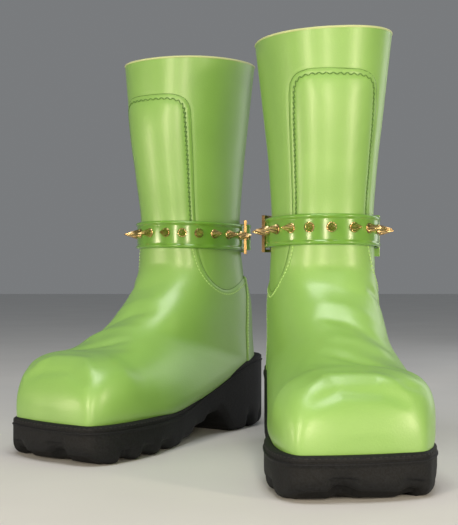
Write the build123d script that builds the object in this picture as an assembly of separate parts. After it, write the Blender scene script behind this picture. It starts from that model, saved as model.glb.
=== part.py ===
from build123d import *
import math
import os

os.makedirs("parts", exist_ok=True)

# A pair of pull-on boots with a spiked ankle strap, in millimetres, standing on z = 0.
# One boot is modelled in its own frame: toe along -Y, +X towards the outside of the left foot.
# The right boot is its mirror image. Both are then set down where they stand in the pair.

# Where each boot stands: x, y of its own origin, and its turn about Z in degrees
LEFT_PLACE = (79.7, -27.2, 5.2)
RIGHT_PLACE = (-37.8, 91.9, -34.5)
PAIR_CENTRE = (-16.3, -33.4)

# Shape of the upper, as slices from above the collar, down and round the heel, to the toe.
# Each row: front y, front z, back y, back z, outer half width, inner half width,
# share of the depth behind the widest point, front exponent, back exponent
SLICES = [
    (-66, 375, 69, 375, 60.5, 60.5, 0.50, 2.2, 2.2),
    (-62, 292, 62, 292, 50.7, 50.7, 0.50, 2.2, 2.2),
    (-54, 238, 57, 238, 45.0, 45.0, 0.50, 2.2, 2.2),
    (-47, 194, 53, 192, 42.5, 42.5, 0.50, 2.2, 2.2),
    (-47, 160, 56, 150, 43.0, 43.5, 0.50, 2.5, 2.4),
    (-59, 136, 67, 118, 43.5, 44.0, 0.50, 2.6, 2.6),
    (-79, 116, 72, 90, 45.0, 44.0, 0.50, 2.6, 2.6),
    (-98, 103, 75, 57, 48.0, 44.0, 0.40, 2.7, 2.6),
    (-118, 94, 42, 50, 50.0, 47.0, 0.36, 2.6, 2.8),
    (-133, 88, -40, 31, 51.0, 55.0, 0.35, 2.6, 3.0),
    (-147, 85, -110, 18, 51.5, 62.0, 0.36, 2.6, 3.0),
    (-163, 84, -155, 17, 50.5, 64.0, 0.38, 3.1, 3.0),
    (-180, 80, -180, 17, 45.0, 62.0, 0.38, 3.2, 3.2),
    (-192, 71, -191, 18, 38.0, 57.5, 0.38, 3.2, 3.4),
    (-198, 58, -197, 20, 34.0, 54.0, 0.38, 3.4, 3.4),
    (-200, 53, -199.5, 24, 28.0, 48.0, 0.40, 3.0, 3.0),
]
LEG_ROWS = SLICES[:8]
FOOT_ROWS = SLICES[3:]
TOE_SKEW = 0.10
SKEW_FROM = -110
SKEW_TO = -180

# Layers of the upper, as distances outwards from the face of the main leather.
# A glue line is left between one layer and the next.
OVERLAY = (0.3, 1.6)
LEATHER = (-2.0, 0.0)
STIFFENER = (-3.4, -2.3)
LEG_LINING = (-3.4, -2.3)
FOOT_LINING = (-4.7, -3.7)
BINDING = (-4.0, 0.6)

# Top of the sole, toe to heel (y, z), and its bottom profile
SOLE_TOP = [(-225, 31), (-140, 31), (-100, 31), (-85, 32), (-70, 34.5), (-55, 38.5), (-40, 43), (-20, 49), (0, 55.5),
            (20, 61.5), (35, 65.5), (50, 68), (70, 69.5), (110, 70)]
SOLE_BOTTOM = [(-225, 16), (-212, 8), (-200, 2.5), (-190, 0), (-86, 0), (-81, 3), (-62, 5), (-57, 11), (-38, 14),
               (-33, 19), (-14, 22), (-5, 16), (3, 5), (10, 0), (110, 0)]
# Plan of the sole, toe to heel: y, outer half width, inner half width
SOLE_PLAN = [(-203, 30, 50), (-190, 43, 63), (-165, 52, 69), (-130, 54.5, 67), (-90, 52, 57), (-50, 50.5, 49),
             (-10, 50, 46.5), (30, 49.5, 46), (58, 44, 42), (78, 30, 30)]
SOLE_TIP = (-10, -208)
SOLE_END = (0, 87)
WELT_THICK = 5.0
WELT_WIDTH = 9.0
GLUE = 0.3
BOARD_THICK = 2.5
FOOTBED_THICK = 4.5
LUG_NOTCHES = [-172, -146, -116]
HEEL_NOTCHES = [38, 64]
NOTCH_RADIUS = 9.0
NOTCH_HEIGHT = 3.5
NOTCH_DEPTH = 18.0
SHANK_SIZE = (16, 112)
SHANK_START = -62

# Ankle: the leg swings about a line across the boot, and its wall ends in a disc about that line
ANKLE_Y = 4
ANKLE_Z = 146
ANKLE_RADIUS = 60
ANKLE_GAP = 0.4
FOOT_TOP_Z = 138
LEG_LOW_Z = 158
HEEL_SEAM_Y = 35
PUFF_Y = -150
COUNTER_Y = 15

# Collar plane: height on the axis and its rise per millimetre towards the back and the outside
COLLAR_Z = 347
COLLAR_BACK = 0.04
COLLAR_OUT = {"left": 0.06, "right": 0.0}
BINDING_THICK = 2.0

# Front panel, seen from the front
PANEL_X = 1
PANEL_TOP = 312
PANEL_LOW = 199
PANEL_HALF_TOP = 37
PANEL_HALF_LOW = 30
PANEL_CORNER = 13

# Ankle strap: a flat band round the ankle oval, at a given distance off the leather
STRAP_MID_Z = 184
STRAP_WIDTH = 25
STRAP_THICK = 2.4
STRAP_GAP = 1.8
OVAL_FRONT = -48
OVAL_BACK = 54.5
OVAL_HALF = 43.2
OVAL_POWER = 2.25
BUCKLE_AT = 128
BAR_OFF = 4.4
BAR_RADIUS = 1.2
SLEEVE_RADIUS = 2.6
SLEEVE_SLOT = 5.2
RUN_CLEAR = 0.05
TIP_OVER = 7.4
TIP_LENGTH = 54
FRAME_REACH = 16
FRAME_HALF = 14.8
FRAME_BAR = 2.6
KEEPER_AT = 29
KEEPER_HALF = 4
LOOP_AT = {"left": 272, "right": 269.25}
LOOP_HALF = 3.5
LOOP_THICK = 5.6
LOOP_BELOW = 7.5
LOOP_ABOVE = 2.5
# Spikes of each strap: first turn from the front, step and count
SPIKES = {"left": (202, 20, 14), "right": (204.5, 18.5, 15)}
SPIKE_BASE = 3.9
SPIKE_LENGTH = 12.5
SPIKE_RISE = 1.5
SPIKE_SIDES = 8
SCREW_RADIUS = 1.4
SCREW_HEAD = 3.0
SCREW_REACH = 3.0

BIG = 400


def signed_power(value, power):
    return math.copysign(abs(value) ** power, value)


def smooth(value):
    value = min(max(value, 0.0), 1.0)
    return value * value * (3 - 2 * value)


def oval_step(semi_x, semi_r, power, angle, grow):
    """Point of a rounded oval, moved out along its own normal; angle 0 points along r."""
    c, s = math.cos(angle), math.sin(angle)
    normal_x = signed_power(s, 2 - 2 / power) / semi_x
    normal_r = signed_power(c, 2 - 2 / power) / semi_r
    size = math.hypot(normal_x, normal_r)
    x = semi_x * signed_power(s, 2 / power) + grow * normal_x / size
    r = semi_r * signed_power(c, 2 / power) + grow * normal_r / size
    return x, r, normal_x / size, normal_r / size


def toe_skew(y):
    return TOE_SKEW * smooth((y - SKEW_FROM) / (SKEW_TO - SKEW_FROM))


# ---------------------------------------------------------------- walls of the upper

def slice_points(row, grow, slip, angles):
    """Points of one slice of the upper, grown outwards in its own plane."""
    front_y, front_z, back_y, back_z, outer, inner, share, power_front, power_back = row
    depth = math.hypot(front_y - back_y, front_z - back_z)
    along_y = (front_y - back_y) / depth
    along_z = (front_z - back_z) / depth
    back = depth * share
    points = []
    for degrees in angles:
        angle = math.radians(degrees)
        in_front = math.cos(angle) > 0
        x, r, _, _ = oval_step(outer if math.sin(angle) > 0 else inner, depth - back if in_front else back,
                               power_front if in_front else power_back, angle, grow)
        y = back_y + along_y * (back + r) + toe_skew(front_y) * x + slip
        points.append(Vector(x, y, back_z + along_z * (back + r)))
    return points


def layer_grid(rows, grow, angles):
    """Rows of slice points; the last slices of the toe also draw back, so a layer keeps its thickness."""
    last = len(rows) - 1
    toe = rows[-1] == SLICES[-1]
    grid = []
    for i, row in enumerate(rows):
        slip = -grow * smooth(1 - (last - i) / 4) if toe else 0
        grid.append(slice_points(row, grow, slip, angles))
    return grid


def quad(a, b, c, d):
    return [Face(Wire.make_polygon([a, b, c])), Face(Wire.make_polygon([a, c, d]))]


def fan(ring):
    """Flat cap over a ring of points, as triangles about its middle."""
    middle = sum(ring, Vector(0, 0, 0)) * (1 / len(ring))
    return [Face(Wire.make_polygon([middle, a, b])) for a, b in zip(ring, ring[1:] + ring[:1])]


def spread(start, stop, steps):
    return [start + (stop - start) * i / steps for i in range(steps + 1)]


def patch(rows, layer, start, stop, steps):
    """Open piece of wall of one layer, between two angles round the slices (0 is the front)."""
    inside, outside = (layer_grid(rows, grow, spread(start, stop, steps)) for grow in layer)
    faces = []
    for i in range(len(rows) - 1):
        for j in range(steps):
            faces += quad(outside[i][j], outside[i][j + 1], outside[i + 1][j + 1], outside[i + 1][j])
            faces += quad(inside[i][j], inside[i + 1][j], inside[i + 1][j + 1], inside[i][j + 1])
        faces += quad(outside[i][0], outside[i + 1][0], inside[i + 1][0], inside[i][0])
        faces += quad(outside[i][-1], inside[i][-1], inside[i + 1][-1], outside[i + 1][-1])
    for j in range(steps):
        faces += quad(outside[0][j], inside[0][j], inside[0][j + 1], outside[0][j + 1])
    if rows[-1] == SLICES[-1]:
        faces += fan(outside[-1]) + fan(inside[-1])
        faces += quad(outside[-1][0], outside[-1][-1], inside[-1][-1], inside[-1][0])
        return Solid(Shell(faces))
    for j in range(steps):
        faces += quad(outside[-1][j], outside[-1][j + 1], inside[-1][j + 1], inside[-1][j])
    return Solid(Shell(faces))


def filled(rows, grow, steps):
    """Closed body inside one face of the upper."""
    grid = layer_grid(rows, grow, spread(0, 360, steps)[:-1])
    faces = []
    for upper, lower in zip(grid, grid[1:]):
        for j in range(steps):
            k = (j + 1) % steps
            faces += quad(upper[j], upper[k], lower[k], lower[j])
    return Solid(Shell(faces + fan(grid[0]) + fan(grid[-1])))


# ---------------------------------------------------------------- side-view cutters

def side_prism(edges):
    """Solid across the whole boot from a closed side-view outline of edges at x = 0."""
    face = Face(Wire(edges))
    return Solid.extrude(face.moved(Location((-BIG / 2, 0, 0))), Vector(BIG, 0, 0))


def side_line(points):
    return [Edge.make_line((0, *a), (0, *b)) for a, b in zip(points, points[1:])]


def above_sole(lift, ceiling):
    """Everything higher than the sole's top line plus lift, up to a flat ceiling."""
    top = [(y, z + lift) for y, z in SOLE_TOP]
    return side_prism(side_line(top + [(top[-1][0], ceiling), (top[0][0], ceiling), top[0]]))


def sole_layer(low, high):
    """Layer that follows the sole's top line, between two distances from it."""
    bottom = [(y, z + low) for y, z in SOLE_TOP]
    top = [(y, z + high) for y, z in reversed(SOLE_TOP)]
    return side_prism(side_line(bottom + top + bottom[:1]))


def ankle_point(radius, z, side):
    return ANKLE_Y + side * math.sqrt(radius ** 2 - (z - ANKLE_Z) ** 2), z


def ankle_arc(radius, z):
    low = (0, ANKLE_Y, ANKLE_Z - radius)
    return Edge.make_three_point_arc((0, *ankle_point(radius, z, -1)), low, (0, *ankle_point(radius, z, 1)))


def leg_zone():
    """Inside the ankle circle, and everything above it."""
    radius = ANKLE_RADIUS - ANKLE_GAP / 2
    rim = [ankle_point(radius, LEG_LOW_Z, 1), (BIG, LEG_LOW_Z), (BIG, BIG + 50), (-BIG, BIG + 50), (-BIG, LEG_LOW_Z),
           ankle_point(radius, LEG_LOW_Z, -1)]
    return side_prism([ankle_arc(radius, LEG_LOW_Z)] + side_line(rim))


def foot_zone(lift):
    """Outside the ankle circle and below it, and above the sole's top line plus lift."""
    radius = ANKLE_RADIUS + ANKLE_GAP / 2
    rim = [ankle_point(radius, FOOT_TOP_Z, 1), (BIG, FOOT_TOP_Z), (BIG, -50), (-BIG, -50), (-BIG, FOOT_TOP_Z),
           ankle_point(radius, FOOT_TOP_Z, -1)]
    return side_prism([ankle_arc(radius, FOOT_TOP_Z)] + side_line(rim)) & above_sole(lift, BIG / 2)


def y_block(low, high):
    return Solid.make_box(BIG, high - low, 2 * BIG).moved(Location((-BIG / 2, low, -BIG)))


def below_collar(lift, side):
    """Everything lower than the tilted collar plane."""
    plane = Plane(origin=(0, 0, COLLAR_Z + lift), z_dir=(-COLLAR_OUT[side], -COLLAR_BACK, 1))
    corner = plane.origin - (plane.x_dir + plane.y_dir) * (BIG / 2) - plane.z_dir * BIG
    return Solid.make_box(BIG, BIG, BIG, Plane(origin=corner, x_dir=plane.x_dir, z_dir=plane.z_dir))


# ---------------------------------------------------------------- the sole

def curve_points(knots, steps):
    """Closed smooth curve through the knots, as points with the given number to each span."""
    count = len(knots)
    points = []
    for i in range(count):
        p0, p1, p2, p3 = (knots[(i + k) % count] for k in (-1, 0, 1, 2))
        for j in range(steps):
            t = j / steps
            points.append(tuple(0.5 * (2 * b + (c - a) * t + (2 * a - 5 * b + 4 * c - d) * t * t
                                       + (3 * b - a - 3 * c + d) * t ** 3)
                                for a, b, c, d in zip(p0, p1, p2, p3)))
    return points


def sole_points(inset):
    """Plan outline of the sole, drawn in by inset, as (x, y) points round the outline."""
    outer = [(half, y) for y, half, _ in SOLE_PLAN]
    inner = [(-half, y) for y, _, half in reversed(SOLE_PLAN)]
    ring = curve_points([SOLE_TIP] + outer + [SOLE_END] + inner, 3)
    count = len(ring)
    points = []
    for i in range(count):
        (ax, ay), (bx, by) = ring[i - 1], ring[(i + 1) % count]
        size = math.hypot(bx - ax, by - ay)
        x = ring[i][0] - inset * (by - ay) / size
        y = ring[i][1] + inset * (bx - ax) / size
        points.append((x, y + toe_skew(y) * x))
    return points


def sole_wire(inset, z):
    return Wire.make_polygon([(x, y, z) for x, y in sole_points(inset)])


def sole_column(inset):
    return Solid.extrude(Face(sole_wire(inset, 0)), Vector(0, 0, 100))


def sole_block():
    """Sole plan raised into a block whose lowest edge is rounded in."""
    steps = [(5.0, -0.5), (2.2, 2.5), (0.6, 7.0), (0.0, 13.0), (0.0, 90.0)]
    return Solid.make_loft([sole_wire(inset, z) for inset, z in steps], True)


def outsole():
    toe, heel = SOLE_TOP[0], SOLE_TOP[-1]
    top = [(y, z - WELT_THICK) for y, z in SOLE_TOP]
    body = sole_block() & side_prism(side_line(top + SOLE_BOTTOM[::-1] + top[:1]))
    for y in LUG_NOTCHES + HEEL_NOTCHES:
        for x in (-80, 80):
            reach = 80 - min(abs(px) for px, py in sole_points(0) if abs(py - y) < 12 and px * x > 0) + NOTCH_DEPTH
            start = Plane((x, y, NOTCH_HEIGHT - NOTCH_RADIUS), z_dir=(-x, 0, 0))
            body = body - Solid.make_cylinder(NOTCH_RADIUS, reach, start)
    return body


def shank_space(clear):
    width, length = SHANK_SIZE
    strip = Solid.make_box(width + 2 * clear, length + 2 * clear, 200)
    strip = strip.moved(Location((-width / 2 - clear, SHANK_START - clear, -50)))
    return strip & sole_layer(-3.4 - clear, -1.8 + clear)


# ---------------------------------------------------------------- the strap round the ankle

def strap_point(turn, off):
    """Point of the ankle oval at a turn from the front round the inner side, off the leather."""
    semi_r = (OVAL_BACK - OVAL_FRONT) / 2
    x, r, normal_x, normal_r = oval_step(OVAL_HALF, semi_r, OVAL_POWER, math.radians(-turn), off)
    middle = (OVAL_BACK + OVAL_FRONT) / 2
    return Vector(x, middle - r, STRAP_MID_Z), Vector(normal_x, -normal_r, 0)


def band(turns, inner_off, thick, low, high):
    """Upright band along the oval; inner_off gives its distance off the leather at each turn."""
    inner = [strap_point(turn, inner_off(turn))[0] for turn in turns]
    outer = [strap_point(turn, inner_off(turn) + thick)[0] for turn in turns]
    face = Face(Wire.make_polygon(inner + outer[::-1])).moved(Location((0, 0, low - STRAP_MID_Z)))
    return Solid.extrude(face, Vector(0, 0, high - low))


def buckle_plane():
    """Local frame at the buckle: x along the strap towards its tip, y outwards, z up the leg."""
    point, out = strap_point(BUCKLE_AT, 0)
    along = Vector(0, 0, 1).cross(out)
    if (strap_point(BUCKLE_AT + 5, 0)[0] - point).dot(along) < 0:
        along = -along
    return point, along, out


def at_buckle(along_mm, out_mm, z=STRAP_MID_Z):
    point, along, out = buckle_plane()
    spot = point + along * along_mm + out * out_mm
    return Vector(spot.X, spot.Y, z)


def rod(start, end, radius):
    return Solid.make_cylinder(radius, (end - start).length, Plane(start, z_dir=end - start))


def buckle_box(along_low, along_high, out_low, out_high, low, high):
    _, along, out = buckle_plane()
    corner = at_buckle(along_low, out_low, low)
    side = Wire.make_polygon([corner, corner + along * (along_high - along_low),
                              corner + along * (along_high - along_low) + out * (out_high - out_low),
                              corner + out * (out_high - out_low)])
    return Solid.extrude(Face(side), Vector(0, 0, high - low))


STRAP_LOW = STRAP_MID_Z - STRAP_WIDTH / 2
STRAP_HIGH = STRAP_MID_Z + STRAP_WIDTH / 2


def tip_off(turn):
    """Distance of the strap's inner face off the leather, as its end climbs over the buckle bar."""
    rest = STRAP_GAP + STRAP_THICK + 0.4
    gone = (turn - 360 - BUCKLE_AT) * 0.85
    if gone < 1:
        return STRAP_GAP + (TIP_OVER - STRAP_GAP) * smooth((gone + 14) / 11)
    return rest + (TIP_OVER - rest) * (1 - smooth((gone - 3) / 13))


def spike_turns(side):
    first, step, count = SPIKES[side]
    return [first + step * i for i in range(count)]


def strap(side):
    first = BUCKLE_AT + 2
    last = 360 + BUCKLE_AT + TIP_LENGTH
    coarse = [first + 6 * i for i in range(int((360 + BUCKLE_AT - 22 - first) / 6) + 1)]
    fine = [360 + BUCKLE_AT - 20 + 3 * i for i in range(14)]
    tail = [360 + BUCKLE_AT + 24 + 6 * i for i in range(int((TIP_LENGTH - 24) / 6))] + [last]
    body = band(coarse + fine + tail, tip_off, STRAP_THICK, STRAP_LOW, STRAP_HIGH)
    sleeve = rod(at_buckle(0, BAR_OFF, STRAP_LOW), at_buckle(0, BAR_OFF, STRAP_HIGH), SLEEVE_RADIUS)
    bore = rod(at_buckle(0, BAR_OFF, STRAP_LOW - 1), at_buckle(0, BAR_OFF, STRAP_HIGH + 1), BAR_RADIUS + RUN_CLEAR)
    slot = SLEEVE_SLOT / 2
    body = body + sleeve - bore
    body = body - buckle_box(-4, 5.5, 0.5, BAR_OFF + SLEEVE_RADIUS + 0.1, STRAP_MID_Z - slot, STRAP_MID_Z + slot)
    body = body - buckle_box(-15, 5.5, 1.0, 14, STRAP_MID_Z - 2.2, STRAP_MID_Z + 2.2)
    for turn in spike_turns(side):
        body = body - spike_rod(turn, STRAP_GAP - 1, STRAP_GAP + STRAP_THICK + 1, SCREW_RADIUS + 0.1)
    return body


def spike_rod(turn, low, high, radius):
    point, out = strap_point(turn, 0)
    point = Vector(point.X, point.Y, STRAP_MID_Z + SPIKE_RISE)
    return rod(point + out * low, point + out * high, radius)


def turned_facets(turn, profile):
    """Faceted solid about a spike's axis, from (distance off the leather, radius) pairs round its section."""
    point, out = strap_point(turn, 0)
    middle = Vector(point.X, point.Y, STRAP_MID_Z + SPIKE_RISE)
    across = Vector(0, 0, 1).cross(out)
    rings = []
    for off, radius in profile:
        turns = [math.radians(360 * k / SPIKE_SIDES) for k in range(SPIKE_SIDES)]
        rings.append([middle + out * off + across * (radius * math.cos(a)) + Vector(0, 0, radius * math.sin(a))
                      for a in turns])
    faces = fan(rings[0]) + fan(rings[-1])
    for one, two in zip(rings, rings[1:]):
        for k in range(SPIKE_SIDES):
            n = (k + 1) % SPIKE_SIDES
            faces += quad(one[k], one[n], two[n], two[k])
    return Solid(Shell(faces))


def spike(turn):
    seat = STRAP_GAP + STRAP_THICK
    bore = seat + SCREW_REACH + 0.2
    return turned_facets(turn, [(bore, SCREW_RADIUS + 0.05), (seat, SCREW_RADIUS + 0.05), (seat, SPIKE_BASE),
                                (seat + 1, SPIKE_BASE), (seat + 1, SPIKE_BASE - 0.4), (seat + SPIKE_LENGTH, 0.35)])


def spike_screw(turn):
    head = STRAP_GAP - 0.2
    return turned_facets(turn, [(head - 0.8, SCREW_HEAD), (head, SCREW_HEAD), (head, SCREW_RADIUS),
                                (STRAP_GAP + STRAP_THICK + SCREW_REACH, SCREW_RADIUS)])


def buckle_frame():
    half = FRAME_BAR / 2
    rail_low = STRAP_MID_Z - FRAME_HALF
    rail_high = STRAP_MID_Z + FRAME_HALF
    reach = FRAME_REACH + half
    body = rod(at_buckle(0, BAR_OFF, rail_low), at_buckle(0, BAR_OFF, rail_high), BAR_RADIUS)
    for z in (rail_low, rail_high):
        body = body + buckle_box(-reach, half, BAR_OFF - half, BAR_OFF + half, z - half, z + half)
    return body + buckle_box(-reach, -FRAME_REACH + half, BAR_OFF - half, BAR_OFF + half, rail_low, rail_high)


def buckle_prong():
    low = STRAP_MID_Z - 2
    high = STRAP_MID_Z + 2
    eye = rod(at_buckle(0, BAR_OFF, low), at_buckle(0, BAR_OFF, high), 2.4)
    shaft = rod(at_buckle(-1.2, BAR_OFF + 0.8), at_buckle(-FRAME_REACH - 2.5, BAR_OFF + 3.3), 1.0)
    bore = rod(at_buckle(0, BAR_OFF, low - 1), at_buckle(0, BAR_OFF, high + 1), BAR_RADIUS + RUN_CLEAR)
    return eye + shaft - bore


def keeper():
    turns = [BUCKLE_AT + KEEPER_AT - KEEPER_HALF + 2 * i for i in range(KEEPER_HALF + 1)]
    wide = [BUCKLE_AT + KEEPER_AT - 10 + 4 * i for i in range(6)]
    inside = STRAP_GAP - 0.4
    outside = STRAP_GAP + 2 * STRAP_THICK + 0.8
    body = band(turns, lambda turn: inside - 0.7, outside - inside + 1.7, STRAP_LOW - 1.4, STRAP_HIGH + 1.4)
    return body - band(wide, lambda turn: inside, outside - inside, STRAP_LOW - 0.4, STRAP_HIGH + 0.4)


def strap_loop(side):
    turns = [LOOP_AT[side] + LOOP_HALF * i / 3 for i in range(-3, 4)]
    wide = [LOOP_AT[side] + 4 * i for i in range(-3, 4)]
    body = band(turns, lambda turn: 0.0, LOOP_THICK, STRAP_LOW - LOOP_BELOW, STRAP_HIGH + LOOP_ABOVE)
    return body - band(wide, lambda turn: STRAP_GAP - 0.4, STRAP_THICK + 0.8, STRAP_LOW - 0.5, STRAP_HIGH + 0.5)


# ---------------------------------------------------------------- one boot

def panel_prism():
    """Arch-topped outline of the front panel, pushed back through the front half of the leg."""
    top, low, corner = PANEL_TOP, PANEL_LOW, PANEL_CORNER
    left, right = PANEL_X - PANEL_HALF_TOP, PANEL_X + PANEL_HALF_TOP
    outline = [(PANEL_X - PANEL_HALF_LOW, low), (PANEL_X + PANEL_HALF_LOW, low), (right, top - corner),
               (right - 0.3 * corner, top - 0.3 * corner), (right - corner, top),
               (left + corner, top), (left + 0.3 * corner, top - 0.3 * corner), (left, top - corner)]
    face = Face(Wire.make_polygon([(x, -BIG / 2, z) for x, z in outline]))
    return Solid.extrude(face, Vector(0, BIG / 2, 0))


def make_foot():
    """The sole and the foot of the upper."""
    shell = foot_zone(0)
    inside = foot_zone(BOARD_THICK)
    counter = patch(SLICES[3:9], STIFFENER, 90, 270, 12)
    return {
        "outsole": outsole(),
        "welt": (sole_column(0) - sole_column(WELT_WIDTH)) & sole_layer(-WELT_THICK, 0),
        "midsole": (sole_column(WELT_WIDTH + GLUE) & sole_layer(-WELT_THICK, 0)) - shank_space(0),
        "shank": shank_space(-0.1),
        "insole_board": filled(FOOT_ROWS, LEATHER[0] - GLUE, 24) & sole_layer(0, BOARD_THICK),
        "footbed": filled(FOOT_ROWS, FOOT_LINING[0] - GLUE, 24) & sole_layer(BOARD_THICK, BOARD_THICK + FOOTBED_THICK),
        "vamp": patch(FOOT_ROWS, LEATHER, -165, 165, 22) & shell & y_block(-BIG, HEEL_SEAM_Y - GLUE),
        "heel_piece": patch(SLICES[3:9], (LEATHER[0], 1.0), 90, 270, 12) & shell & y_block(HEEL_SEAM_Y, BIG),
        "toe_puff": patch(FOOT_ROWS, STIFFENER, -165, 165, 22) & inside & y_block(-BIG, PUFF_Y),
        "heel_counter": counter & inside & y_block(COUNTER_Y, BIG),
        "foot_lining": patch(FOOT_ROWS, FOOT_LINING, -179.7, 179.7, 24) & inside,
    }


def make_leg(side):
    """The leg of the upper with its panel and strap."""
    zone = leg_zone() & below_collar(0, side)
    seat = below_collar(GLUE + BINDING_THICK, side) - below_collar(GLUE, side)
    turns = spike_turns(side)
    return {
        "leg_outer": patch(LEG_ROWS, LEATHER, 0.3, 179.7, 12) & zone,
        "leg_inner": patch(LEG_ROWS, LEATHER, 180.3, 359.7, 12) & zone,
        "leg_lining": patch(LEG_ROWS, LEG_LINING, 0.3, 359.7, 24) & zone,
        "collar_binding": patch(LEG_ROWS[:2], BINDING, 0.1, 359.9, 28) & seat,
        "front_panel": patch(LEG_ROWS[:4], OVERLAY, -60, 60, 10) & panel_prism(),
        "strap": strap(side),
        "strap_loop": strap_loop(side),
        "spikes": Compound(children=[spike(turn) for turn in turns]),
        "spike_screws": Compound(children=[spike_screw(turn) for turn in turns]),
        "buckle_frame": buckle_frame(),
        "buckle_prong": buckle_prong(),
        "keeper": keeper(),
    }


def set_down(shape, side):
    x, y, turn = LEFT_PLACE if side == "left" else RIGHT_PLACE
    place = Location((x - PAIR_CENTRE[0], y - PAIR_CENTRE[1], 0), (0, 0, turn))
    if side == "right":
        shape = shape.mirror(Plane.YZ)
    solids = [solid.moved(place) for solid in shape.solids()]
    return solids[0] if len(solids) == 1 else Compound(children=solids)


foot = make_foot()
for side in ("left", "right"):
    for name, shape in {**foot, **make_leg(side)}.items():
        export_step(set_down(shape, side), "parts/" + side + "_" + name + ".step")
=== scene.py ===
import math

import bpy
import numpy as np
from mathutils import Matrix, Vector
from mathutils.bvhtree import BVHTree


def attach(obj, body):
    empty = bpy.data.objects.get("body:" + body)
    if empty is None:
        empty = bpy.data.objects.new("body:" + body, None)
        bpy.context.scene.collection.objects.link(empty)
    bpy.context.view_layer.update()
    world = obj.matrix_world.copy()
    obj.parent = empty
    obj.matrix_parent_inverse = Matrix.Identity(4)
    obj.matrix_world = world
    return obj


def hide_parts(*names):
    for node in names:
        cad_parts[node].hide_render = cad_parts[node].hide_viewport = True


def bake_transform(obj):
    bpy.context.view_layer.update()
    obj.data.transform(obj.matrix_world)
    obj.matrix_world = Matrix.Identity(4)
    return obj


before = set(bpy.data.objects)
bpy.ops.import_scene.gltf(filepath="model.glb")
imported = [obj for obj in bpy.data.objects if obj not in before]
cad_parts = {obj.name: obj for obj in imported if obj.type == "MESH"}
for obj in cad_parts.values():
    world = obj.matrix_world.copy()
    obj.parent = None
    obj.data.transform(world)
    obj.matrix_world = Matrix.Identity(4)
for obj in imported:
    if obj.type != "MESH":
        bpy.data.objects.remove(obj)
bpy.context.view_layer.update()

# Lengths are millimetres in a boot's own frame: toe towards -Y, outer side towards +X and the
# sole on z = 0. placed() puts points down in the shared frame, in metres. The right boot is the
# left one mirrored.
MM = 0.001
SIDES = ("left", "right")
# Where each boot stands, as x, y and turn in degrees, and the middle of the pair.
LEFT_PLACE = (79.7, -27.2, 5.2)
RIGHT_PLACE = (-37.8, 91.9, -34.5)
PAIR_CENTRE = (-16.3, -33.4)

# Slices of the upper, as in the solids:
# front y, z, back y, z, outer half, inner half, back share, front power, back power.
SLICES = np.array([
    (-66, 375, 69, 375, 60.5, 60.5, 0.50, 2.2, 2.2),
    (-62, 292, 62, 292, 50.7, 50.7, 0.50, 2.2, 2.2),
    (-54, 238, 57, 238, 45.0, 45.0, 0.50, 2.2, 2.2),
    (-47, 194, 53, 192, 42.5, 42.5, 0.50, 2.2, 2.2),
    (-47, 160, 56, 150, 43.0, 43.5, 0.50, 2.5, 2.4),
    (-59, 136, 67, 118, 43.5, 44.0, 0.50, 2.6, 2.6),
    (-79, 116, 72, 90, 45.0, 44.0, 0.50, 2.6, 2.6),
    (-98, 103, 75, 57, 48.0, 44.0, 0.40, 2.7, 2.6),
    (-118, 94, 42, 50, 50.0, 47.0, 0.36, 2.6, 2.8),
    (-133, 88, -40, 31, 51.0, 55.0, 0.35, 2.6, 3.0),
    (-147, 85, -110, 18, 51.5, 62.0, 0.36, 2.6, 3.0),
    (-163, 84, -155, 17, 50.5, 64.0, 0.38, 3.1, 3.0),
    (-180, 80, -180, 17, 45.0, 62.0, 0.38, 3.2, 3.2),
    (-192, 71, -191, 18, 38.0, 57.5, 0.38, 3.2, 3.4),
    (-198, 58, -197, 20, 34.0, 54.0, 0.38, 3.4, 3.4),
    (-200, 53, -199.5, 24, 28.0, 48.0, 0.40, 3.0, 3.0),
], float)
# Rows of the skin to each span between slices, and columns to each quarter round it.
SPAN_ROWS = (46, 34, 28, 24, 20, 18, 16, 16, 14, 12, 10, 10, 10, 8, 6)
QUARTER_COLUMNS = 60
# Fine rows that the skin's rows are taken from, and how many of them the collar is sought in.
FINE_ROWS = 620
COLLAR_ROWS = 200
# Skew of the toe in plan, and where it sets in and is full.
TOE_SKEW = 0.10
SKEW_FROM = -110
SKEW_TO = -180
# Rings that close the toe: size against the last slice, and bulge forward.
TOE_CAPS = ((0.92, 0.5), (0.8, 1.0), (0.6, 1.6), (0.4, 2.0), (0.2, 2.3), (0.02, 2.4))
# Easing of the toe's corners: where it sets in, over what length, and how often it is repeated.
TOE_SOFT_FROM = -160
TOE_SOFT_OVER = 30
TOE_SOFT_PASSES = 70
# The innermost rings after the easing: row, and size against the ring outside them.
TOE_CENTRE = ((-3, 0.66), (-2, 0.36), (-1, 0.1))

# The leg's axis, and the radius at which turns round it are measured along the leather.
AXIS_Y = 4
AXIS_RADIUS = 50
# Height of the collar at the boot's origin, and its slope towards the back and the outer side.
COLLAR_Z = 347
COLLAR_BACK = 0.04
COLLAR_OUT = {"left": 0.06, "right": 0.0}
# Depth of the lining under the leather's face, and how much coarser its grid is.
LINING_DEPTH = 3.6
LINING_STEP = 3
# Heights at the ankle that bend_at_ankle puts on the leg's axis; nothing is bent by them.
BLEND_LOW = 112
BLEND_HIGH = 168

# Edge of the panel and vamp overlay, from the panel's top middle round to the backstay, as
# (distance round the leg from its front, height).
EDGE_KNOTS = [(0, 312), (10, 312), (18, 311.4), (25.5, 308), (29.6, 300), (30.6, 285),
              (31.6, 260), (33, 220), (34.2, 199), (35.4, 180), (38, 165), (43, 152), (51, 141.5),
              (62, 135.5), (74, 133.5), (87, 135.5), (101, 140.5), (116, 146.5)]
EDGE_STEPS = 10
# Points that close the overlay's outline behind the heel and below the sole.
OVERLAY_CLOSING = [(220, 147), (220, -60), (-220, -60), (-220, 147)]
# Below this height all leather is overlay, and counts as this far inside its edge.
ALL_OVERLAY_BELOW = 100
DEEP_INSIDE = 40.0
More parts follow.
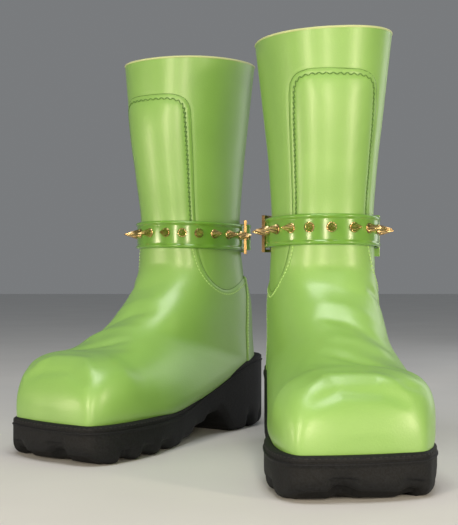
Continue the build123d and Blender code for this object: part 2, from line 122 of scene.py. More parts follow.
# Height of the overlay and width of its rolled edge.
OVERLAY = 1.2
OVERLAY_ROLL = 1.5
# Padding of the panel: height, where it sets in and over what rise, inset from the edge and
# length over which it rounds off.
PADDING = 2.3
PADDING_FROM = 168
PADDING_OVER = 24
PADDING_INSET = 4
PADDING_SOFT = 9
# Stitched channel: distance inside the edge, width, depth, and its added depth on the panel.
CHANNEL_INSET = 3.6
CHANNEL_WIDTH = 1.5
CHANNEL_DEPTH = 0.25
CHANNEL_ON_PANEL = 0.35
# Groove along the outside of the overlay's edge: distance inside the edge, width and depth.
GROOVE_INSET = -0.7
GROOVE_WIDTH = 1.0
GROOVE_DEPTH = 0.35

# The overlay's edge has zigzag stitches above the first height and running ones below the second.
ZIGZAG_FROM = 172
RUNNING_TO = 174

# Backstay: y of its front edge, height of its top and bottom, how far it stands off the
# leather, rows and columns of its flat part, the axis that its turns go round, and the steps
# along its top edge.
HEEL_SEAM_Y = 35
HEEL_TOP = 146
HEEL_LOW = 60
HEEL_LIFT = 1.1
HEEL_ROWS = 34
HEEL_COLUMNS = 44
HEEL_AXIS_Y = 25
HEEL_TOP_STEPS = 40

# Height of the sole's top edge and of its tread against y.
SOLE_TOP = np.array([(-225, 31), (-140, 31), (-100, 31), (-85, 32), (-70, 34.5), (-55, 38.5),
                     (-40, 43), (-20, 49), (0, 55.5), (20, 61.5), (35, 65.5), (50, 68),
                     (70, 69.5), (110, 70)], float)
SOLE_BOTTOM = np.array([(-225, 16), (-212, 8), (-200, 2.5), (-190, 0), (-86, 0), (-81, 3),
                        (-62, 5), (-57, 11), (-38, 14), (-33, 19), (-14, 22), (-5, 16), (3, 5),
                        (10, 0), (110, 0)], float)
# The sole's outline: y, outer half and inner half, between its tip and its end as (x, y).
SOLE_PLAN = [(-203, 30, 50), (-190, 43, 63), (-165, 52, 69), (-130, 54.5, 67), (-90, 52, 57),
             (-50, 50.5, 49), (-10, 50, 46.5), (30, 49.5, 46), (58, 44, 42), (78, 30, 30)]
SOLE_TIP = (-10, -208)
SOLE_END = (0, 87)
SOLE_SPAN = 14
# The sole's rim from its inner edge out and down: inset, and height off the sole's top.
RIM = [(9.5, -2.5), (8.0, -0.6), (6.4, 0.1), (4.4, 0.3), (2.4, -0.1), (1.0, -1.0), (0.3, -2.3),
       (0.2, -3.6), (0.9, -4.4), (0.2, -4.8), (-0.6, -5.2), (-0.6, -5.8), (0.1, -6.4),
       (0.2, -8.0)]
# Wall below the rim: inset, drop of its top below the sole's top, rise of its foot, steps.
WALL_INSET = 0.2
WALL_DROP = 8.6
WALL_RISE = 9
WALL_STEPS = 7
# Round of the bottom corner: inset, and height off the tread.
CORNER = [(0.3, 8.5), (0.7, 6.2), (1.6, 4.0), (3.0, 2.0), (5.0, 0.7), (7.6, 0.1)]
# Rings of the tread inside the corner, and the ends of the spine that they close on.
TREAD_INSETS = (11, 15, 19, 24, 30, 37)
SPINE_FROM = -168
SPINE_TO = 52
# Lug notches: y and half width of those on the sides, x and half width of those at the toe.
NOTCHES = [(-172, 11.0), (-146, 11.0), (-116, 12.0), (38, 8.0), (64, 7.0)]
TOE_NOTCHES = (-24, 26)
TOE_NOTCH_WIDTH = 11
# Where the side notches take over from the toe's, and over what length.
SIDE_NOTCHES_FROM = -196
SIDE_NOTCHES_OVER = 12
# A full notch cuts the wall this deep, towards a ring this much further in, and lifts the tread
# beside it this much.
NOTCH_CUT = 2.4
NOTCH_REACH = 6
NOTCH_LIFT = 3.1

# The strap: height of its middle, half width, thickness, gap to the leather, and rise over the
# instep.
STRAP_MID_Z = 184
STRAP_HALF = 12.5
STRAP_THICK = 2.4
STRAP_GAP = 1.8
STRAP_ARCH = 1.5
# Oval of the leather under the strap.
OVAL_FRONT = -48
OVAL_BACK = 54.5
OVAL_HALF = 43.2
OVAL_POWER = 2.25
# Turns in degrees go from the front round the inner side. A degree is this long on the strap.
DEGREE = 0.85
STRAP_STEP = 2.0
# Turn of the buckle, distance of its bar off the leather, and radius of the sleeve round it.
BUCKLE_AT = 128
BAR_OFF = 4.4
SLEEVE_RADIUS = 2.6
# The strap's end: how far off the leather it passes the bar, its length past the buckle and
# the length of its rounded tip, in degrees, and its gap to the strap under it.
TIP_OVER = 7.4
TIP_LENGTH = 54
TIP_ROUND = 8
TIP_GAP = 0.4
# Slot for the prong: half width, half length, and how far its middle is before the buckle.
SLOT_HALF = 2.2
SLOT_HALF_LENGTH = 10
SLOT_BEFORE = 4.7
# Half of the strap's section from its middle out: height from the middle, thickness, and share
# of the raised border.
STRAP_SECTION = [(SLOT_HALF, 2.3, 0), (5.0, 2.3, 0), (7.8, 2.2, 0), (8.6, 2.1, 0),
                 (9.2, 2.25, 0.35), (9.9, 2.4, 0.8), (10.7, 2.4, 1.0), (11.5, 2.35, 0.85),
                 (12.1, 2.0, 0.4), (12.45, 1.4, 0), (12.5, 0.6, 0), (12.2, 0.0, 0)]
BORDER_HEIGHT = 1.0
# Spikes: turn of the first, step and count on each boot; then base radius, length, height over
# the strap's middle, sides, depth of the flutes against the radius, and twist to a millimetre.
SPIKES = {"left": (202, 20, 14), "right": (204.5, 18.5, 15)}
SPIKE_BASE = 4.3
SPIKE_LENGTH = 12.5
SPIKE_RISE = 1.5
SPIKE_SIDES = 20
SPIKE_FLUTE = 0.16
SPIKE_TWIST = 0.06


# ---------------------------------------------------------------- helpers

def smooth(value):
    value = np.clip(value, 0.0, 1.0)
    return value * value * (3 - 2 * value)


def bump(value, middle, width):
    return np.exp(-((value - middle) / width) ** 2)


def power(value, exponent):
    return np.sign(value) * np.abs(value) ** exponent


def unit(vectors):
    return vectors / np.maximum(np.linalg.norm(vectors, axis=-1, keepdims=True), 1e-9)


def placed(points, side):
    """Points of one boot, in the shared frame and in metres."""
    x, y, turn = LEFT_PLACE if side == "left" else RIGHT_PLACE
    p = np.array(points, float).reshape(-1, 3)
    if side == "right":
        p[:, 0] *= -1
    c, s = math.cos(math.radians(turn)), math.sin(math.radians(turn))
    turned = np.stack([c * p[:, 0] - s * p[:, 1], s * p[:, 0] + c * p[:, 1], p[:, 2]], 1)
    return (turned + (x - PAIR_CENTRE[0], y - PAIR_CENTRE[1], 0)) * MM


def grid_faces(rows, columns, closed=True):
    """Quads of a grid of points, closed round its columns or open."""
    i = np.arange(rows - 1)[:, None] * columns
    j = np.arange(columns if closed else columns - 1)[None, :]
    n = (j + 1) % columns
    return np.stack([i + j, i + n, i + columns + n, i + columns + j], -1).reshape(-1, 4).tolist()


def add_mesh(name, points, faces, side, paint, slot, smooth_shaded=True):
    """Mesh of one boot from points in its own frame."""
    mesh = bpy.data.meshes.new(name)
    if side == "right":
        faces = [tuple(face)[::-1] for face in faces]
    mesh.from_pydata(placed(points, side).tolist(), [], faces)
    mesh.polygons.foreach_set("use_smooth", [smooth_shaded] * len(mesh.polygons))
    mesh.materials.append(paint)
    mesh.update()
    obj = bpy.data.objects.new(name, mesh)
    bpy.context.scene.collection.objects.link(obj)
    return obj


def bend_at_ankle(obj, side):
    """Bakes the object's place into its points; the leather is not bent at the ankle."""
    low, high = placed([(0, AXIS_Y, BLEND_LOW), (0, AXIS_Y, BLEND_HIGH)], side)
    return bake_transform(obj)


def curve_spans(a, b, c, d, steps):
    """Smooth curve from each b to the next c, as points with the given number to each span."""
    t = (np.arange(steps) / steps)[None, :, None]
    curve = 0.5 * (2 * b + (c - a) * t + (2 * a - 5 * b + 4 * c - d) * t * t
                   + (3 * b - a - 3 * c + d) * t ** 3)
    return curve.reshape(-1, curve.shape[-1])


def closed_curve(knots, steps):
    """Closed smooth curve through the knots."""
    k = np.array(knots, float)
    return curve_spans(*(np.roll(k, shift, axis=0)[:, None] for shift in (1, 0, -1, -2)), steps)


def open_curve(knots, steps):
    """Smooth curve through the knots with its ends kept."""
    k = np.array(knots, float)
    k = np.concatenate([[2 * k[0] - k[1]], k, [2 * k[-1] - k[-2]]])
    curve = curve_spans(*(k[i:len(k) - 3 + i][:, None] for i in range(4)), steps)
    return np.concatenate([curve, [k[-2]]])


def spaced(path, pitch):
    """Points of a path at an even pitch along it."""
    length = np.concatenate([[0], np.cumsum(np.linalg.norm(np.diff(path, axis=0), axis=1))])
    at = np.linspace(0, length[-1], max(2, int(round(length[-1] / pitch)) + 1))
    return np.stack([np.interp(at, length, path[:, k]) for k in range(path.shape[1])], 1)


def slice_curve(at):
    """Slice values at fractional slice numbers, by a cubic that keeps the run of the values."""
    step = np.diff(SLICES, axis=0)
    before, after = step[:-1], step[1:]
    slope = np.zeros_like(SLICES)
    same = before * after > 0
    total = np.where(same, before + after, 1)
    slope[1:-1] = np.where(same, 2 * before * after / total, 0)
    slope[0], slope[-1] = step[0], step[-1]
    k = np.clip(np.floor(at).astype(int), 0, len(SLICES) - 2)
    t = (at - k)[:, None]
    a, b = SLICES[k], SLICES[k + 1]
    return (a * (1 + 2 * t) * (1 - t) ** 2 + slope[k] * t * (1 - t) ** 2
            + b * t * t * (3 - 2 * t) + slope[k + 1] * t * t * (t - 1))


def toe_skew(y):
    return TOE_SKEW * smooth((y - SKEW_FROM) / (SKEW_TO - SKEW_FROM))


# ---------------------------------------------------------------- the leather skin

def quarter_angles(semi_x, semi_r, exponent):
    """Angles of one quarter of an oval whose points are evenly spaced along it."""
    fine = np.linspace(0, math.pi / 2, 160)
    x = semi_x * np.sin(fine) ** (2 / exponent)
    r = semi_r * np.cos(fine) ** (2 / exponent)
    length = np.concatenate([[0], np.cumsum(np.hypot(np.diff(x), np.diff(r)))])
    return np.interp(np.linspace(0, length[-1], QUARTER_COLUMNS + 1), length, fine)


def skin_ring(row):
    """Points round one slice, from the front round the outer side, the back and the inner side."""
    front_y, front_z, back_y, back_z, outer, inner, share, n_front, n_back = row
    depth = math.hypot(front_y - back_y, front_z - back_z)
    along_y, along_z = (front_y - back_y) / depth, (front_z - back_z) / depth
    back, ahead = depth * share, depth * (1 - share)
    xs, rs = [], []
    for sign, half in ((1, outer), (-1, inner)):
        front = quarter_angles(half, ahead, n_front)
        behind = quarter_angles(half, back, n_back)[::-1]
        x = np.concatenate([half * np.sin(front) ** (2 / n_front),
                            half * np.sin(behind[1:]) ** (2 / n_back)])
        r = np.concatenate([ahead * np.cos(front) ** (2 / n_front),
                            -back * np.cos(behind[1:]) ** (2 / n_back)])
        xs.append(sign * x[:-1] if sign > 0 else sign * x[:0:-1])
        rs.append(r[:-1] if sign > 0 else r[:0:-1])
    x, r = np.concatenate(xs), np.concatenate(rs)
    y = back_y + along_y * (back + r) + toe_skew(front_y) * x
    return np.stack([x, y, back_z + along_z * (back + r)], 1)


def grid_normals(points):
    """Outward normals of a grid of points round a boot."""
    down = np.gradient(points, axis=0)
    ahead = np.roll(points, -1, axis=1) - np.roll(points, 1, axis=1)
    return unit(np.cross(down, ahead))


def base_skin(side):
    """Grid of the outer leather, rows from the collar down and forward to the toe's end."""
    fine = np.linspace(0, len(SLICES) - 1, FINE_ROWS)
    rings = np.array([skin_ring(row) for row in slice_curve(fine)])
    edge = COLLAR_Z + COLLAR_BACK * rings[:, :, 1] + COLLAR_OUT[side] * rings[:, :, 0]
    rows = [k + np.arange(n) / n for k, n in enumerate(SPAN_ROWS)]
    rows = np.concatenate(rows + [[len(SLICES) - 1]])
    points = np.zeros((len(rows), rings.shape[1], 3))
    for j in range(rings.shape[1]):
        over = (rings[:, j, 2] - edge[:, j])[:COLLAR_ROWS]
        top = np.interp(0, -over, fine[:COLLAR_ROWS])
        at = top + (fine[-1] - top) * rows / rows[-1]
        for k in range(3):
            points[:, j, k] = np.interp(at, fine, rings[:, j, k])
    middle = points[-1].mean(0)
    caps = [middle + (points[-1] - middle) * size - (0, bulge, 0) for size, bulge in TOE_CAPS]
    return rounded_toe(np.concatenate([points, caps]))


def rounded_toe(points):
    """Eases the corners of the toe by moving each point towards its neighbours."""
    share = 0.5 * smooth((TOE_SOFT_FROM - points[:, :, 1]) / TOE_SOFT_OVER)[1:-1, :, None]
    for _ in range(TOE_SOFT_PASSES):
        around = (points[2:] + points[:-2]) / 4
        around += (np.roll(points, 1, axis=1) + np.roll(points, -1, axis=1))[1:-1] / 4
        points[1:-1] += (around - points[1:-1]) * share
    outer_ring = points[-len(TOE_CENTRE) - 1]
    middle = outer_ring.mean(0)
    for row, size in TOE_CENTRE:
        points[row] = middle + (outer_ring - middle) * size
    return points


def edge_line(inset, half=1):
    """The overlay's edge on one side, drawn in by inset."""
    path = open_curve(EDGE_KNOTS, EDGE_STEPS)
    along = unit(np.gradient(path, axis=0))
    drawn = path + np.stack([along[:, 1], -along[:, 0]], 1) * inset
    return drawn * (half, 1)


def overlay_depth(round_leg, height):
    """How far inside the overlay's edge each point lies, negative outside it."""
    right, left = edge_line(0), edge_line(0, -1)[::-1]
    ring = np.concatenate([left, right[1:], OVERLAY_CLOSING])
    spot = np.stack([round_leg, height], 1)
    nearest = np.full(len(spot), 1e9)
    inside = np.zeros(len(spot), bool)
    for a, b in zip(ring, np.roll(ring, -1, axis=0)):
        run = b - a
        t = np.clip(((spot - a) @ run) / max(run @ run, 1e-9), 0, 1)
        nearest = np.minimum(nearest, np.linalg.norm(spot - a - t[:, None] * run, axis=1))
        crosses = (a[1] > spot[:, 1]) != (b[1] > spot[:, 1])
        if abs(run[1]) > 1e-9:
            inside ^= crosses & (spot[:, 0] < a[0] + (spot[:, 1] - a[1]) / run[1] * run[0])
    return np.where(inside, nearest, -nearest)


# Soft folds, as a line on the leather, its width and its height.
FOLDS = [
    ([(-20, -118, 92), (-5, -134, 87), (13, -152, 84), (34, -166, 77)], 6.0, -2.3),
    ([(-34, -128, 90), (-20, -138, 87), (0, -158, 84)], 9.0, -1.2),
    ([(-14, -98, 101), (8, -108, 98), (28, -122, 90)], 7.5, 1.5),
    ([(-16, -78, 115), (2, -84, 112), (20, -96, 102), (32, -106, 92)], 6.0, -1.6),
    ([(-18, -66, 125), (4, -70, 123), (26, -76, 113)], 6.5, 1.0),
    ([(-24, -52, 143), (4, -58, 137), (26, -54, 131)], 8.0, -1.4),
    ([(28, -50, 138), (37, -40, 129), (43, -27, 119)], 4.5, -1.8),
    ([(-44, -190, 74), (-30, -181, 81), (4, -181, 81), (22, -188, 73)], 5.0, 1.8),
    ([(-42, -197, 64), (-24, -192, 71), (6, -192, 70), (22, -194, 64)], 5.0, -1.7),
    ([(20, -186, 74), (30, -180, 70), (38, -172, 64)], 4.0, -1.0),
]
# A fold runs on past its line by this share of its length, and fades out over this share.
FOLD_OVERRUN = 0.2
FOLD_FADE = 0.45


def line_fold(p, line, width, depth):
    """Soft crease or ridge along a line on the leather, fading at its ends."""
    line = np.array(line, float)
    lengths = np.linalg.norm(np.diff(line, axis=0), axis=1)
    before = np.concatenate([[0], np.cumsum(lengths)])
    away, along = np.full(len(p), 1e9), np.zeros(len(p))
    for a, b, length, done in zip(line, line[1:], lengths, before):
        t = ((p - a) @ (b - a)) / length ** 2
        distance = np.linalg.norm(p - a - np.clip(t, 0, 1)[:, None] * (b - a), axis=1)
        closer = distance < away
        away = np.where(closer, distance, away)
        along = np.where(closer, done + t * length, along)
    along = along / before[-1]
    fade = smooth((along + FOLD_OVERRUN) / FOLD_FADE)
    fade *= smooth((1 + FOLD_OVERRUN - along) / FOLD_FADE)
    return depth * np.exp(-(away / width) ** 2) * fade


def skin_height(points):
    """How far the leather stands off its base: overlay, padding, stitched channel and folds."""
    p = points.reshape(-1, 3)
    turn = np.arctan2(p[:, 0], AXIS_Y - p[:, 1])
    inside = np.full(len(p), DEEP_INSIDE)
    near = p[:, 2] > ALL_OVERLAY_BELOW
    inside[near] = overlay_depth(turn[near] * AXIS_RADIUS, p[near, 2])
    on_panel = smooth((p[:, 2] - PADDING_FROM) / PADDING_OVER)
    height = OVERLAY * smooth(inside / OVERLAY_ROLL)
    padded = 1 - np.exp(-np.maximum(inside - PADDING_INSET, 0) / PADDING_SOFT)
    height += PADDING * on_panel * padded
    channel = bump(inside, CHANNEL_INSET, CHANNEL_WIDTH)
    height -= (CHANNEL_DEPTH + CHANNEL_ON_PANEL * on_panel) * channel
    height -= GROOVE_DEPTH * bump(inside, GROOVE_INSET, GROOVE_WIDTH)
    for line, width, depth in FOLDS:
        height += line_fold(p, line, width, depth)
    return height.reshape(points.shape[:2])


def make_skin(side, paints):
    """Leather of a boot and the lining inside it; gives the grid, its normals and a search tree."""
    base = base_skin(side)
    normals = grid_normals(base)
    points = base + normals * skin_height(base)[..., None]
    rows, columns = points.shape[:2]
    faces = [face[::-1] for face in grid_faces(rows, columns)]
    faces.append(tuple(range((rows - 1) * columns, rows * columns))[::-1])
    skin = add_mesh(side + "_upper", points.reshape(-1, 3), faces, side, paints["leather"],
                    "boot_leather")
    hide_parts(*(side + "_" + n for n in ("vamp", "leg_outer", "leg_inner", "front_panel")))
    bend_at_ankle(skin, side)
    inner = (base - normals * LINING_DEPTH)[:, ::LINING_STEP]
    toe_rings = len(TOE_CAPS) + 1
    inner = np.concatenate([inner[:-toe_rings:LINING_STEP], inner[-toe_rings:]])
    lining = add_mesh(side + "_lining", inner.reshape(-1, 3), grid_faces(*inner.shape[:2]), side,
                      paints["lining"], "lining")
    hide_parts(*(side + "_" + n for n in ("leg_lining", "foot_lining", "toe_puff",
                                                   "heel_counter")))
    bend_at_ankle(lining, side)
    tree = BVHTree.FromPolygons(points.reshape(-1, 3).tolist(), faces)
    return points, normals, tree


def on_skin(tree, turn, height, lift, axis_y=AXIS_Y):
    """Point of the skin, lifted off it, at a turn in radians round an axis from the front."""
    way = Vector((math.sin(turn), -math.cos(turn), 0))
    spot, normal, _, _ = tree.ray_cast(Vector((0, axis_y, height)), way)
    if normal.dot(way) < 0:
        normal = -normal
    return np.array(spot + normal * lift)


# ---------------------------------------------------------------- threads, beads and tubes

def tube(path, radius, sides, closed=False, squash=None):
    """Points and faces of a tube along a path; squash gives the way its section is flattened."""
    path = np.array(path, float)
    if closed:
        along = unit(np.roll(path, -1, axis=0) - np.roll(path, 1, axis=0))
    else:
        along = unit(np.gradient(path, axis=0))
    if squash is None:
        squash = np.tile((0.0, 0.0, 1.0), (len(path), 1))
    across = unit(np.cross(along, squash))
    up = np.cross(across, along)
    turns = np.linspace(0, 2 * math.pi, sides, endpoint=False)
    wide, tall = radius if isinstance(radius, tuple) else (radius, radius)
    points = (path[:, None] + across[:, None] * (wide * np.cos(turns))[None, :, None]
              + up[:, None] * (tall * np.sin(turns))[None, :, None])
    faces = grid_faces(len(path), sides)
    last = (len(path) - 1) * sides
    if closed:
        faces += [(last + j, last + (j + 1) % sides, (j + 1) % sides, j) for j in range(sides)]
    else:
        faces += [tuple(range(sides))[::-1], tuple(range(last, last + sides))]
    return points.reshape(-1, 3), faces


def joined(parts):
    """Several point and face lists as one."""
    points, faces, count = [], [], 0
    for some, shown in parts:
        points.append(some)
        faces += [tuple(int(k) + count for k in face) for face in shown]
        count += len(some)
    return np.concatenate(points), faces


def thread(start, end, radius):
    """One stitch: a short rounded thread between two points."""
    start, end = np.array(start, float), np.array(end, float)
    run = end - start
    ends = [start - run * 0.04, start + run * 0.1, end - run * 0.1, end + run * 0.04]
    points, faces = tube(ends, radius, 6, squash=np.tile(unit(np.array([0.3, 0.5, 0.8])), (4, 1)))
    middle = points.reshape(4, 6, 3)
    for k in (0, 3):
        middle[k] = ends[k] + (middle[k] - ends[k]) * 0.4
    return middle.reshape(-1, 3), faces


def stitches(spots, radius, share):
    """A stitch over this share of the gap between each pair of neighbouring spots."""
    return [thread(a + (b - a) * (1 - share) / 2, b - (b - a) * (1 - share) / 2, radius)
            for a, b in zip(spots, spots[1:])]


def sewn(name, side, parts, paint, slot):
    """Mesh of threads or beads, with its place baked into its points."""
    points, faces = joined(parts)
    return bend_at_ankle(add_mesh(name, points, faces, side, paint, slot), side)


def make_panel_trim(side, tree, paints):
    """Painted shade line and the zigzag and running stitches along the overlay's edge."""
    def laid(path, lift):
        return [on_skin(tree, s / AXIS_RADIUS, z, lift) for s, z in path]

    zigzag, running, beads = [], [], []
    for half in (1, -1):
        # Painted shade: a thin dark tube sunk into the leather just outside the overlay's edge.
        beads.append(tube(laid(spaced(edge_line(-0.5, half), 2.0), -0.12), 0.36, 6))
        near, far = spaced(edge_line(2.8, half), 2.1), spaced(edge_line(4.8, half), 2.1)
        turns = [(near if k % 2 else far)[k] for k in range(min(len(near), len(far)))]
        zigzag += stitches(laid([s for s in turns if s[1] > ZIGZAG_FROM], 0.12), 0.5, 0.86)
        line = [s for s in spaced(edge_line(4.0, half), 3.2) if s[1] < RUNNING_TO]
        running += stitches(laid(line, 0.1), 0.55, 0.62)
    sewn(side + "_edge_painted_shade", side, beads, paints["seam"], "panel_leather")
    sewn(side + "_panel_stitches", side, zigzag, paints["dark_thread"], "panel_leather")
    sewn(side + "_vamp_stitches", side, running, paints["light_thread"], "panel_leather")


def heel_turn(tree, height, y):
    """Turn round the heel's axis at which the skin has this y, on the outer side."""
    turns = np.linspace(math.radians(60), math.radians(150), 60)
    ys = [on_skin(tree, turn, height, 0, HEEL_AXIS_Y)[1] for turn in turns]
    return np.interp(y, ys, turns)


def make_heel_piece(side, tree, paints):
    """Backstay that stands off the leather, with a painted shade line and stitches along its edge.
    """
    def spot(turn, height, lift):
        return on_skin(tree, turn, height, lift, HEEL_AXIS_Y)

    heights = np.concatenate([np.linspace(HEEL_LOW, HEEL_TOP - 1.2, HEEL_ROWS),
                              [HEEL_TOP - 0.5, HEEL_TOP, HEEL_TOP + 0.05]])
    rise_z = np.concatenate([np.ones(HEEL_ROWS), [0.85, 0.45, -0.8]])
    share = np.concatenate([[0, 0.003, 0.009, 0.018], np.linspace(0.03, 0.97, HEEL_COLUMNS),
                            [0.982, 0.991, 0.997, 1]])
    rise_s = np.concatenate([[-0.8, 0.45, 0.85, 1], np.ones(HEEL_COLUMNS), [1, 0.85, 0.45, -0.8]])
    points, fronts = [], []
    for height, up in zip(heights, rise_z):
        outer = heel_turn(tree, height, HEEL_SEAM_Y)
        inner = 2 * math.pi - outer
        points += [spot(outer + (inner - outer) * part, height, HEEL_LIFT * min(up, along))
                   for part, along in zip(share, rise_s)]
        fronts.append((outer, height))
    faces = [face[::-1] for face in grid_faces(len(heights), len(share), False)]
    piece = add_mesh(side + "_backstay", points, faces, side, paints["leather"], "boot_leather")
    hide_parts(side + "_heel_piece")
    bend_at_ankle(piece, side)

    beads, threads = [], []
    # Painted shade: thin dark tubes along the backstay's front edges and top, where it stands off
    # the leather.
    for half in (1, -1):
        edge = [spot(half * (outer - 0.012), height, 0.05) for outer, height in fronts[:-1]]
        beads.append(tube(edge, 0.4, 6))
        sewn_line = [spot(half * (outer + 0.05), height, 1.2) for outer, height in fronts[6:-3]]
        threads += stitches(spaced(np.array(sewn_line), 3.0), 0.42, 0.62)
    outer = heel_turn(tree, HEEL_TOP, HEEL_SEAM_Y)

    def across(inset, height, lift):
        width = 2 * math.pi - 2 * outer - 2 * inset
        return [spot(outer + inset + width * k / HEEL_TOP_STEPS, height, lift)
                for k in range(HEEL_TOP_STEPS + 1)]

    beads.append(tube(across(0, HEEL_TOP + 0.4, 0.05), 0.4, 6))
    top_line = across(0.06, HEEL_TOP - 2.6, 1.2)
    threads += stitches(spaced(np.array(top_line), 3.0), 0.42, 0.62)
    sewn(side + "_backstay_painted_shade", side, beads, paints["seam"], "boot_leather")
    sewn(side + "_backstay_stitches", side, threads, paints["light_thread"], "boot_leather")


def make_binding(side, points, normals, paints):
    """Rounded cut edge round the collar."""
    rim, out = points[0], unit(normals[0] * (1, 1, 0))
    middle = rim - out * 1.9 + (0, 0, 0.7)
    ring, faces = tube(middle, (1.3, 2.5), 12, True, squash=out)
    obj = add_mesh(side + "_collar_edge", ring, faces, side, paints["binding"], "binding")
    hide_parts(side + "_collar_binding")
    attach(obj, side + "_leg")


# ---------------------------------------------------------------- the sole

def sole_top(y):
    return np.interp(y, SOLE_TOP[:, 0], SOLE_TOP[:, 1])


def sole_bottom(y):
    return np.interp(y, SOLE_BOTTOM[:, 0], SOLE_BOTTOM[:, 1])


def sole_ring(inset):
    """The sole's outline, drawn in by inset."""
    outer = [(half, y) for y, half, _ in SOLE_PLAN]
    inner = [(-half, y) for y, _, half in reversed(SOLE_PLAN)]
    ring = closed_curve([SOLE_TIP] + outer + [SOLE_END] + inner, SOLE_SPAN)
    along = unit(np.roll(ring, -1, axis=0) - np.roll(ring, 1, axis=0))
    drawn = ring + np.stack([-along[:, 1], along[:, 0]], 1) * inset
    return np.stack([drawn[:, 0], drawn[:, 1] + toe_skew(drawn[:, 1]) * drawn[:, 0]], 1)


def notch_depth(ring):
    """Share of a full lug notch at each point of the sole's outline."""
    x, y = ring[:, 0], ring[:, 1]
    depth = np.zeros(len(ring))
    for middle, width in NOTCHES:
        run = (y - middle) / width
        scallop = smooth((run + 1.0) / 0.5) * smooth((1.3 - run) / 1.5)
        depth = np.maximum(depth, scallop)
    on_side = smooth((y - SIDE_NOTCHES_FROM) / SIDE_NOTCHES_OVER)
    front = np.zeros(len(ring))
    for middle in TOE_NOTCHES:
        run = (x - middle) / TOE_NOTCH_WIDTH * np.sign(middle)
        front = np.maximum(front, smooth((run + 1.2) / 1.2) * smooth((1.0 - run) / 0.5))
    return depth * on_side + front * (1 - on_side)


def make_sole(side, paints):
    """Unit sole from its rim down the wall and under the tread, and the stitches round the rim."""
    edge = sole_ring(0)
    notch = notch_depth(edge)
    top, low = sole_top(edge[:, 1]), sole_bottom(edge[:, 1])
    rings = []
    for inset, drop in RIM:
        ring = sole_ring(inset)
        rings.append(np.column_stack([ring, sole_top(ring[:, 1]) + drop]))
    wall_top, wall_low = top - WALL_DROP, low + WALL_RISE
    ring, inner = sole_ring(WALL_INSET), sole_ring(WALL_INSET + NOTCH_REACH)
    for k in range(1, WALL_STEPS):
        t = k / WALL_STEPS
        z = wall_top + (wall_low - wall_top) * t
        cut = notch * smooth((low + 17 - z) / 12) * NOTCH_CUT
        drawn = ring + (inner - ring) * (cut / NOTCH_REACH)[:, None]
        rings.append(np.column_stack([drawn, z]))
    for inset, rise in CORNER:
        ring, inner = sole_ring(inset), sole_ring(inset + NOTCH_REACH)
        lift = notch * (3.2 - 0.1 * rise)
        drawn = ring + (inner - ring) * (notch * 0.6)[:, None]
        rings.append(np.column_stack([drawn, low + rise + lift]))
    for inset in TREAD_INSETS:
        ring = sole_ring(inset)
        lift = notch * NOTCH_LIFT * smooth((22 - inset) / 8)
        rings.append(np.column_stack([ring, sole_bottom(ring[:, 1]) + lift]))
    spine_y = np.clip(edge[:, 1], SPINE_FROM, SPINE_TO)
    rings.append(np.column_stack([np.zeros(len(edge)), spine_y, sole_bottom(spine_y)]))
    points = np.array(rings)
    obj = add_mesh(side + "_unit_sole", points.reshape(-1, 3), grid_faces(*points.shape[:2]),
                   side, paints["rubber"], "sole_rubber")
    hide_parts(side + "_outsole", side + "_welt")
    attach(obj, side + "_foot")
    line = sole_ring(0.75)
    path = spaced(np.column_stack([line, sole_top(line[:, 1]) - 1.6]), 4.2)
    seam = add_mesh(side + "_rim_stitches", *joined(stitches(path, 0.5, 0.55)), side,
                    paints["black_thread"], "sole_rubber")
    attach(seam, side + "_foot")


# ---------------------------------------------------------------- strap, spikes and buckle

def strap_spot(turn, off):
    """Point off the ankle oval at a turn, and the way out there."""
    semi_r = (OVAL_BACK - OVAL_FRONT) / 2
    angle = np.radians(-np.asarray(turn, float))
    c, s = np.cos(angle), np.sin(angle)
    nx = power(s, 2 - 2 / OVAL_POWER) / OVAL_HALF
    nr = power(c, 2 - 2 / OVAL_POWER) / semi_r
    size = np.hypot(nx, nr)
    x = OVAL_HALF * power(s, 2 / OVAL_POWER) + off * nx / size
    r = semi_r * power(c, 2 / OVAL_POWER) + off * nr / size
    zero = np.zeros_like(x)
    return (np.stack([x, (OVAL_BACK + OVAL_FRONT) / 2 - r, zero + STRAP_MID_Z], -1),
            np.stack([nx / size, -nr / size, zero], -1))


def strap_arch(turn):
    """How much the strap rises over the instep."""
    return STRAP_ARCH * np.maximum(np.cos(np.radians(turn)), 0) ** 1.5


def past_buckle(turn):
    """Length of strap from the buckle's bar to a turn of the strap's end."""
    return (turn - 360 - BUCKLE_AT) * DEGREE


def tip_off(turn):
    """Distance of the strap's inner face off the leather, as its end climbs over the bar."""
    rest = STRAP_GAP + STRAP_THICK + TIP_GAP
    gone = past_buckle(turn)
    rising = STRAP_GAP + (TIP_OVER - STRAP_GAP) * smooth((gone + 14) / 11)
    falling = rest + (TIP_OVER - rest) * (1 - smooth((gone - 3) / 13))
    return np.where(gone < 1, rising, falling)


